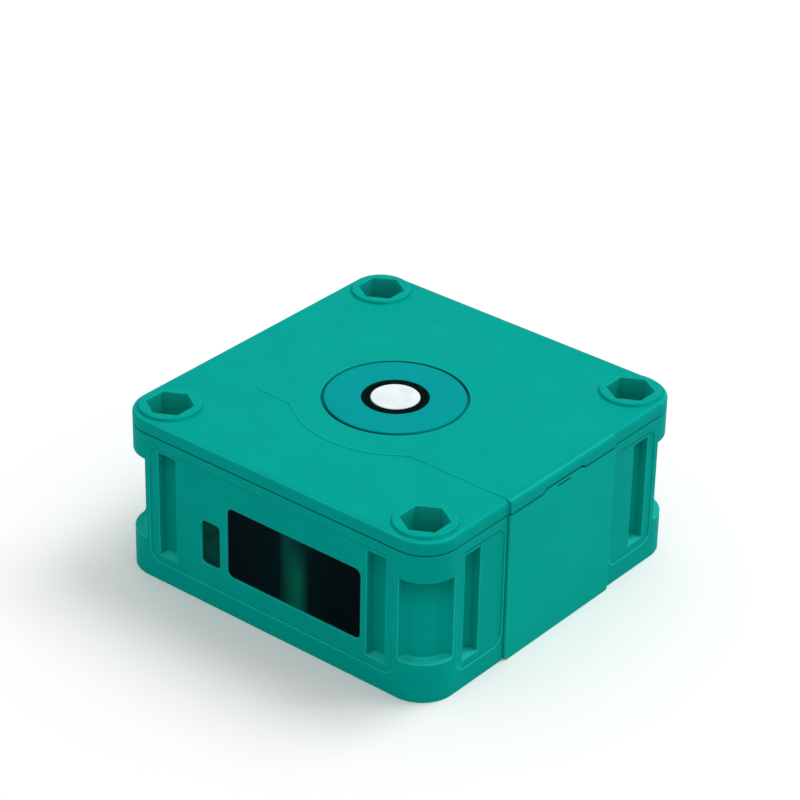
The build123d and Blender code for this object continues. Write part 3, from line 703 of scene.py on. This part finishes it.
def cover_marks(place, normal, mark):
    """The upper turn of the cover's rim gets a painted highlight; its lower edge gets painted shade from the
    seam.
    """
    inset = rim_inset(place.x, place.y)
    if inset < RIM_BAND and place.z > COVER_TOP - ROUND:
        on_brow = inset < BROW_BAND and place.x > BROW_FACE and abs(place.y) < BROW_HALF
        low, high = HIGHLIT_BROW if on_brow else HIGHLIT_RIM
        return MARKS["cover_rim"] if low < normal.z < high else 0.0
    if inset < SEAM_BAND and place.z < SKIRT_TOP:
        return MARKS["cover_seam"] if mark or normal.z < -HALFWAY else 0.0
    # Painted shade on the walls round the transducer's ring that run across the light
    if abs(normal.z) < MOSTLY and math.hypot(place.x, place.y) < HOLE_REACH:
        return MARKS["cover_hole"] * normal.y ** 2
    from_bolt = math.hypot(abs(place.x) - BOLT_PLACE, abs(place.y) - BOLT_PLACE)
    # Painted light on the walls of the hexagon wells
    if abs(normal.z) < BARELY and from_bolt < WELL_REACH:
        return MARKS["well_wall"]
    # Painted highlight on the other rounded edges
    return mark * MARKS["cover_edge"]


def ring_marks(_place, normal, _mark):
    """The groove round the ring is dark where it runs across the light."""
    return MARKS["ring_groove"] * normal.y ** 2 if abs(normal.z) < MOSTLY else 0.0


# Where the base is marked, in millimetres
BASE_RIM = 32.5  # its rim lies above this height
FIELD_STRIP = (30.42, 31)  # the strip below the upper edge of its side fields
FIELD_INSET = (0.2, 0.4)  # how far in that strip lies
FLOOR_HEIGHT = (5, 10)  # the floors of the slots and scoops lie between these heights
FLOOR_REACH = 12  # and less far in than this
UPPER_FLOOR = 8  # the upper ones lie above this height

# The painted shadow in the slots and scoops of the base, in millimetres
FADE_CUTS = (14, 18, 20.5, 22.5, 24, 25.5, 27)  # the base is cut here, so that it can fade
SHADOW_INSET = (0.6, 5)  # how far in it lies
SHADOW_HEIGHT = (10, 30.9)  # between which heights
SHADOW_GROWTH = 11  # over what height it grows to its full strength
SCOOP_START = 30  # the corner scoops lie farther than this from the middle both ways
SCOOP_SHADOW = (0.8, 17)  # its strength in a scoop, and the height where it starts
SLOT_SHADOW = (0.4, 19)  # the same in a slot


def between(value, limits):
    """Whether a value lies between two limits."""
    return limits[0] < value < limits[1]


def base_shape(bm):
    """Lowers the rim of the base to the seam and cuts the strips that its marks need."""
    for height in (*FADE_CUTS, FIELD_STRIP[0]):
        cut_level(bm, height)
    for vert in bm.verts:
        x, y, z = vert.co / MM
        if rim_inset(x, y) < WALL_BAND and between(z, WALL_END):
            vert.co.z -= SEAM_DROP * MM


def base_marks(place, normal, mark):
    """Painted shadow in the seam and under the upper edge of the fields; painted light on the floors of slots
    and scoops and a painted highlight on rounded edges.
    """
    inset = rim_inset(place.x, place.y)
    if inset < SEAM_BAND and place.z > BASE_RIM:
        if mark:
            return MARKS["base_rim"]
        return MARKS["base_seam"] if normal.z > HALFWAY else 0.0
    if between(inset, FIELD_INSET) and between(place.z, FIELD_STRIP) and abs(normal.z) < BARELY:
        return MARKS["right_field"] if place.x > PANEL_FACE else MARKS["other_fields"]
    if not mark and normal.z > HALFWAY and between(place.z, FLOOR_HEIGHT) and inset < FLOOR_REACH:
        return MARKS["upper_floor"] if place.z > UPPER_FLOOR else MARKS["lower_floor"]
    return mark * MARKS["base_edge"]


def base_painted_shadow(place):
    """Painted shadow below the overhang of the scoops and slots, fading downwards."""
    inset = rim_inset(place.x, place.y)
    if not between(inset, SHADOW_INSET) or not between(place.z, SHADOW_HEIGHT):
        return 0.0
    in_scoop = min(abs(place.x), abs(place.y)) > SCOOP_START
    strength, start = SCOOP_SHADOW if in_scoop else SLOT_SHADOW
    return strength * max(0.0, min(1.0, (place.z - start) / SHADOW_GROWTH)) ** 2


class SENSOR_OT_shell(bpy.types.Operator):
    """Finish the moulded housing, cover and side panel"""

    bl_idname = "sensor.shell"
    bl_label = "Moulded shell"

    def execute(self, context):
        settings = context.scene.sensor_shell
        grain = settings.grain_size
        plastic = moulded_pbt("moulded_teal_pbt", tuple(settings.body_colour), grain)
        finish_copy("base_housing", plastic, reshape=base_shape, marked=base_marks, shadowed=base_painted_shadow)
        cover = moulded_pbt("moulded_teal_pbt_cover", tuple(settings.cover_colour), grain)
        finish_copy("top_cover", cover, reshape=cover_shape, marked=cover_marks)
        lighter = moulded_pbt("moulded_light_teal_pbt", tuple(settings.panel_colour), grain)
        finish_copy("side_panel", lighter, reshape=panel_shape, marked=panel_marks)
        return {"FINISHED"}


# The ring's grain is this much finer than the housing's
RING_GRAIN = 0.7


class SENSOR_OT_transducer(bpy.types.Operator):
    """Finish the transducer: its ring, foam, white disc and the pieces behind them"""

    bl_idname = "sensor.transducer"
    bl_label = "Transducer"

    def execute(self, context):
        settings = context.scene.sensor_shell
        grain = settings.grain_size * RING_GRAIN
        ring = moulded_pbt("moulded_blue_teal_pbt", tuple(settings.ring_colour), grain)
        finish_copy("face_ring", ring, marked=ring_marks)
        foam = pore_foam("black_cell_foam")
        finish_copy("foam_ring", foam, width=FOAM_ROUND)
        finish_copy("matching_layer", bubble_resin("white_bubble_resin"), width=0)
        repaint("backing_foam", foam)
        repaint("piezo_disc", fired_ceramic("fired_silvered_ceramic"))
        repaint("transducer_cap", moulded_resin("black_nylon_cap"))
        repaint("transducer_leads", moulded_resin("red_wire_insulation"))
        return {"FINISHED"}


class SENSOR_OT_windows(bpy.types.Operator):
    """Finish the two lenses of the front"""

    bl_idname = "sensor.windows"
    bl_label = "Windows"

    def execute(self, context):
        finish_copy("display_window", smoked_acrylic("smoked_acrylic"), width=LENS_ROUND)
        finish_copy("indicator_lens", green_acrylic("green_acrylic"), width=LENS_ROUND)
        return {"FINISHED"}


# One tooth of the thread: how far along the pitch each of its corners lies, and whether at the crest
TOOTH = ((0.0, False), (0.12, False), (0.44, True), (0.56, True), (0.88, False))

FULL_TURN = math.radians(360)
TURN_STEPS = 72

# The connector's shell, in millimetres
RELIEF_LENGTH = 1.0  # the plain neck between the flange and the thread
TIP_LENGTH = 0.6  # the plain tip before the thread
END_DEPTH = 0.25  # how far below its root the thread's ends turn in
THREAD_POINT = 0.004  # points of the thread that lie nearer than this are one
CORE_POINT = 0.0005  # the same for the core inside it
CORE_REACH = 0.3  # how far the core's wide part reaches past the flange's front
CORE_GAP = 0.02  # how far the core stays inside the thread's root
TIP_STEP = 0.12  # where the bevel of the tip starts
TIP_BEVEL = 0.15  # how far it comes in
BORE_BEVEL = 0.2  # the bevel of the socket's mouth
FLANGE_ROUND = 0.25  # the rounding of the flange


def thread_skin(bm, settings, near, far):
    """Turns a row of thread teeth into a screw thread and closes its ends towards the core."""
    crest = settings.barrel_radius
    root = crest - settings.thread_depth
    pitch = settings.pitch
    points = []
    for tooth in range(math.ceil((far - near) / pitch) + 2):
        start = near + (tooth - 1) * pitch
        for share, high in TOOTH:
            points.append(bm.verts.new((crest if high else root, start + share * pitch, AXIS_HEIGHT)))
    chain = [bm.edges.new(pair) for pair in zip(points, points[1:])]
    bmesh.ops.spin(
        bm, geom=points + chain, cent=(0, 0, AXIS_HEIGHT), axis=(0, 1, 0), dvec=(0, pitch / TURN_STEPS, 0),
        angle=FULL_TURN, steps=TURN_STEPS, use_merge=False, use_duplicate=False,
    )
    bmesh.ops.remove_doubles(bm, verts=bm.verts, dist=THREAD_POINT * MM)
    for place, side in ((near, -1), (far, 1)):
        bmesh.ops.bisect_plane(
            bm, geom=whole(bm), plane_co=(0, place, 0), plane_no=(0, side, 0), clear_outer=True, dist=ON_CUT,
        )
    inner = []
    for place in (near, far):
        rim = [
            edge for edge in bm.edges
            if edge.is_boundary and all(abs(vert.co.y - place) < 10 * ON_CUT for vert in edge.verts)
        ]
        grown = bmesh.ops.extrude_edge_only(bm, edges=rim)["geom"]
        for vert in (item for item in grown if isinstance(item, bmesh.types.BMVert)):
            out = Vector((vert.co.x, 0, vert.co.z - AXIS_HEIGHT)).normalized() * (root - END_DEPTH * MM)
            vert.co = Vector((out.x, place, AXIS_HEIGHT + out.z))
        inner += [item for item in grown if isinstance(item, bmesh.types.BMEdge) and item.is_boundary]
    bmesh.ops.bridge_loops(bm, edges=inner)


def turned_core(bm, settings, back, flange_front, tip):
    """Spins the barrel inside the thread, with its socket, about the connector's axis."""
    bore, radius = settings.bore_radius, settings.barrel_radius
    root = radius - settings.thread_depth
    outline = [
        (bore, back), (radius, back), (radius, flange_front + CORE_REACH * MM),
        (root - CORE_GAP * MM, flange_front + CORE_REACH * MM), (root - CORE_GAP * MM, tip - TIP_STEP * MM),
        (root - TIP_BEVEL * MM, tip), (bore + BORE_BEVEL * MM, tip), (bore, tip - BORE_BEVEL * MM),
    ]
    points = [bm.verts.new((away, depth, AXIS_HEIGHT)) for away, depth in outline]
    ring = [bm.edges.new(pair) for pair in zip(points, points[1:] + points[:1])]
    bmesh.ops.spin(
        bm, geom=points + ring, cent=(0, 0, AXIS_HEIGHT), axis=(0, 1, 0), dvec=(0, 0, 0),
        angle=FULL_TURN, steps=TURN_STEPS, use_merge=True, use_duplicate=False,
    )
    bmesh.ops.remove_doubles(bm, verts=bm.verts, dist=CORE_POINT * MM)


def hexagon_flange(settings, near, far):
    """The hexagon flange as a six-sided solid with rounded edges, in a mesh of its own."""
    bm = bmesh.new()
    corner = settings.hexagon_width / 2 / math.cos(math.radians(30))
    placing = (
        Matrix.Translation((0, (near + far) / 2, AXIS_HEIGHT)) @ Matrix.Rotation(math.radians(90), 4, "X")
        @ Matrix.Rotation(math.radians(30), 4, "Z")
    )
    bmesh.ops.create_cone(
        bm, cap_ends=True, segments=6, radius1=corner, radius2=corner, depth=far - near, matrix=placing,
    )
    bmesh.ops.bevel(
        bm, geom=bm.edges[:], offset=FLANGE_ROUND * MM, offset_type="OFFSET", segments=2, profile=0.5,
        affect="EDGES", material=-1, clamp_overlap=True,
    )
    mesh = bpy.data.meshes.new("flange_shape")
    bm.to_mesh(mesh)
    bm.free()
    return mesh


class SENSOR_OT_connector(bpy.types.Operator):
    """Model the threaded connector shell and finish the pieces in it"""

    bl_idname = "sensor.connector"
    bl_label = "Connector"

    def execute(self, context):
        settings = context.scene.sensor_connector
        low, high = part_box("connector_shell")
        back, tip = low[1], high[1]
        flange_back = THREAD_START - RELIEF_LENGTH * MM
        flange_front = flange_back - settings.flange_depth
        bm = bmesh.new()
        thread_skin(bm, settings, THREAD_START, tip - TIP_LENGTH * MM)
        turned_core(bm, settings, back, flange_front, tip)
        bmesh.ops.recalc_face_normals(bm, faces=bm.faces)
        flange = hexagon_flange(settings, flange_front, flange_back)
        bm.from_mesh(flange)
        bpy.data.meshes.remove(flange)
        piece = finished_object("connector_shell", bm, THREAD_SOFT_TURN)
        nickel = turned_metal("nickel_plated_brass")
        dressed(piece, nickel, ["connector_shell"])
        finish_copy("contact_carrier", moulded_resin("black_glass_filled_nylon"), width=TURNED_ROUND)
        finish_copy("contact_pins", turned_metal("gold_plated_contact"), width=0)
        repaint("connector_nut", nickel)
        repaint("connector_seal", moulded_resin("black_nitrile_rubber"))
        repaint("connector_leads", moulded_resin("brown_wire_insulation"))
        return {"FINISHED"}


class SENSOR_OT_fasteners(bpy.types.Operator):
    """Finish the sleeves, screws and seal"""

    bl_idname = "sensor.fasteners"
    bl_label = "Sleeves, screws and seal"

    def execute(self, context):
        zinc = turned_metal("zinc_plated_steel")
        finish_copy("mounting_sleeves", zinc, width=TURNED_ROUND, steps=1)
        finish_copy("cover_screws", zinc, width=SCREW_ROUND, steps=1)
        repaint("board_screws", zinc)
        repaint("cover_seal", moulded_resin("grey_silicone_rubber"))
        return {"FINISHED"}


class SENSOR_OT_boards(bpy.types.Operator):
    """Finish the circuit boards and what stands on them"""

    bl_idname = "sensor.boards"
    bl_label = "Circuit boards"

    def execute(self, context):
        board = masked_board("green_solder_mask")
        ferrite = moulded_resin("sintered_ferrite", depth=0.03 * MM)
        epoxy = moulded_resin("pressed_black_epoxy")
        repaint("main_board", board)
        repaint("display_board", board)
        repaint("drive_transformer", ferrite)
        repaint("power_coil", ferrite)
        repaint("processor_chip", epoxy)
        repaint("board_header", epoxy)
        repaint("temperature_probe", moulded_resin("dipped_epoxy_bead"))
        repaint("storage_capacitors", turned_metal("drawn_aluminium_can"))
        repaint("signal_leds", moulded_resin("phosphor_resin"))
        return {"FINISHED"}


def white_for_camera(tree):
    """A factor that is 1 where the camera, a mirror or clear plastic sees the surface."""
    path = add(tree, "ShaderNodeLightPath").outputs
    seen = path["Is Camera Ray"]
    for ray in ("Is Glossy Ray", "Is Transmission Ray"):
        seen = add(tree, "ShaderNodeMath", {0: seen, 1: path[ray]}, operation="MAXIMUM").outputs[0]
    return seen


# How much the floor paper glows by itself where the camera sees it, which keeps it near white
PAPER_GLOW = 0.07


def pale_floor_paper(name):
    # Matt studio paper with a barely visible tooth: plain white that only takes the soft shadow.
    material, tree, shader, place = start_material(name, IOR=1.45, Specular_IOR_Level=0.0, Roughness=0.95)
    seen = white_for_camera(tree)
    tooth = noise(tree, place, 1.2 * MM, detail=2)
    paper = mixed(tree, spread(tree, tooth, 0, 1), linear("fefefe"), linear("ffffff"))
    tree.links.new(mixed(tree, seen, linear("d4d4d4"), paper), shader.inputs["Base Color"])
    tree.links.new(seen, shader.inputs["Emission Strength"])
    shader.inputs["Emission Color"].default_value = (PAPER_GLOW, PAPER_GLOW, PAPER_GLOW, 1)
    return material


class SENSOR_OT_stage(bpy.types.Operator):
    """Set up the floor, the light and the camera"""

    bl_idname = "sensor.stage"
    bl_label = "Stage"

    def execute(self, context):
        settings = context.scene.sensor_stage
        self.make_floor(settings)
        self.make_world(context, settings)
        self.make_key(settings)
        context.scene.camera = self.make_camera(settings)
        context.scene.view_settings.view_transform = "Standard"
        return {"FINISHED"}

    def make_floor(self, settings):
        bm = bmesh.new()
        bmesh.ops.create_grid(bm, x_segments=8, y_segments=8, size=settings.floor_size / 2)
        mesh = bpy.data.meshes.new("floor_shape")
        bm.to_mesh(mesh)
        bm.free()
        floor = linked_object("floor", mesh)
        mesh.materials.append(pale_floor_paper("white_paper"))

    def make_world(self, context, settings):
        world = bpy.data.worlds.new("studio")
        context.scene.world = world
        world.use_nodes = True
        tree = world.node_tree
        tree.nodes.clear()
        seen = white_for_camera(tree)
        strength = add(
            tree, "ShaderNodeMapRange", {"Value": seen, "To Min": settings.sky_strength, "To Max": 1.0},
        ).outputs[0]
        sky = add(tree, "ShaderNodeBackground", {"Color": (1, 1, 1, 1), "Strength": strength})
        add(tree, "ShaderNodeOutputWorld", {"Surface": sky.outputs[0]})

    def make_key(self, settings):
        light = bpy.data.lights.new("key", "AREA")
        light.energy = settings.key_power
        light.size = settings.key_size
        lamp = linked_object("key", light)
        direction = Vector(settings.key_direction).normalized()
        lamp.location = direction * settings.key_distance
        lamp.rotation_euler = direction.to_track_quat("Z", "Y").to_euler()

    def make_camera(self, settings):
        camera = bpy.data.cameras.new("camera")
        camera.type = "PERSP"
        camera.lens = settings.lens
        camera.sensor_width = 36.0
        seat = linked_object("camera", camera)
        azimuth, elevation, roll = settings.azimuth, settings.elevation, settings.roll
        back = Vector((
            math.cos(elevation) * math.sin(azimuth), -math.cos(elevation) * math.cos(azimuth),
            math.sin(elevation),
        ))
        right = Vector((math.cos(azimuth), math.sin(azimuth), 0))
        up = back.cross(right)
        turned_right = right * math.cos(roll) + up * math.sin(roll)
        turned_up = up * math.cos(roll) - right * math.sin(roll)
        axes = Matrix((turned_right, turned_up, back)).transposed().to_4x4()
        seat.matrix_world = Matrix.Translation(Vector(settings.camera_place)) @ axes
        return seat


class SENSOR_PT_panel(bpy.types.Panel):
    """Lists the pieces of the sensor in the order in which they are made"""

    bl_idname = "SENSOR_PT_panel"
    bl_label = "Block sensor"
    bl_space_type = "VIEW_3D"
    bl_region_type = "UI"
    bl_category = "Sensor"

    def draw(self, context):
        layout = self.layout
        for operator in OPERATORS:
            layout.operator(operator.bl_idname)
        for group in (context.scene.sensor_shell, context.scene.sensor_connector, context.scene.sensor_stage):
            box = layout.box()
            for name in group.__annotations__:
                box.prop(group, name)


SETTINGS = {
    "sensor_shell": ShellSettings,
    "sensor_connector": ConnectorSettings,
    "sensor_stage": StageSettings,
}

OPERATORS = (
    SENSOR_OT_shell,
    SENSOR_OT_transducer,
    SENSOR_OT_windows,
    SENSOR_OT_connector,
    SENSOR_OT_fasteners,
    SENSOR_OT_boards,
    SENSOR_OT_stage,
)


def register():
    for group in SETTINGS.values():
        bpy.utils.register_class(group)
    for operator in OPERATORS:
        bpy.utils.register_class(operator)
    bpy.utils.register_class(SENSOR_PT_panel)
    for name, group in SETTINGS.items():
        setattr(bpy.types.Scene, name, PointerProperty(type=group))


def unregister():
    for name in SETTINGS:
        delattr(bpy.types.Scene, name)
    bpy.utils.unregister_class(SENSOR_PT_panel)
    for operator in reversed(OPERATORS):
        bpy.utils.unregister_class(operator)
    for group in SETTINGS.values():
        bpy.utils.unregister_class(group)


def main():
    register()
    bpy.ops.sensor.shell()
    bpy.ops.sensor.transducer()
    bpy.ops.sensor.windows()
    bpy.ops.sensor.connector()
    bpy.ops.sensor.fasteners()
    bpy.ops.sensor.boards()
    bpy.ops.sensor.stage()


if __name__ == "__main__":
    main()
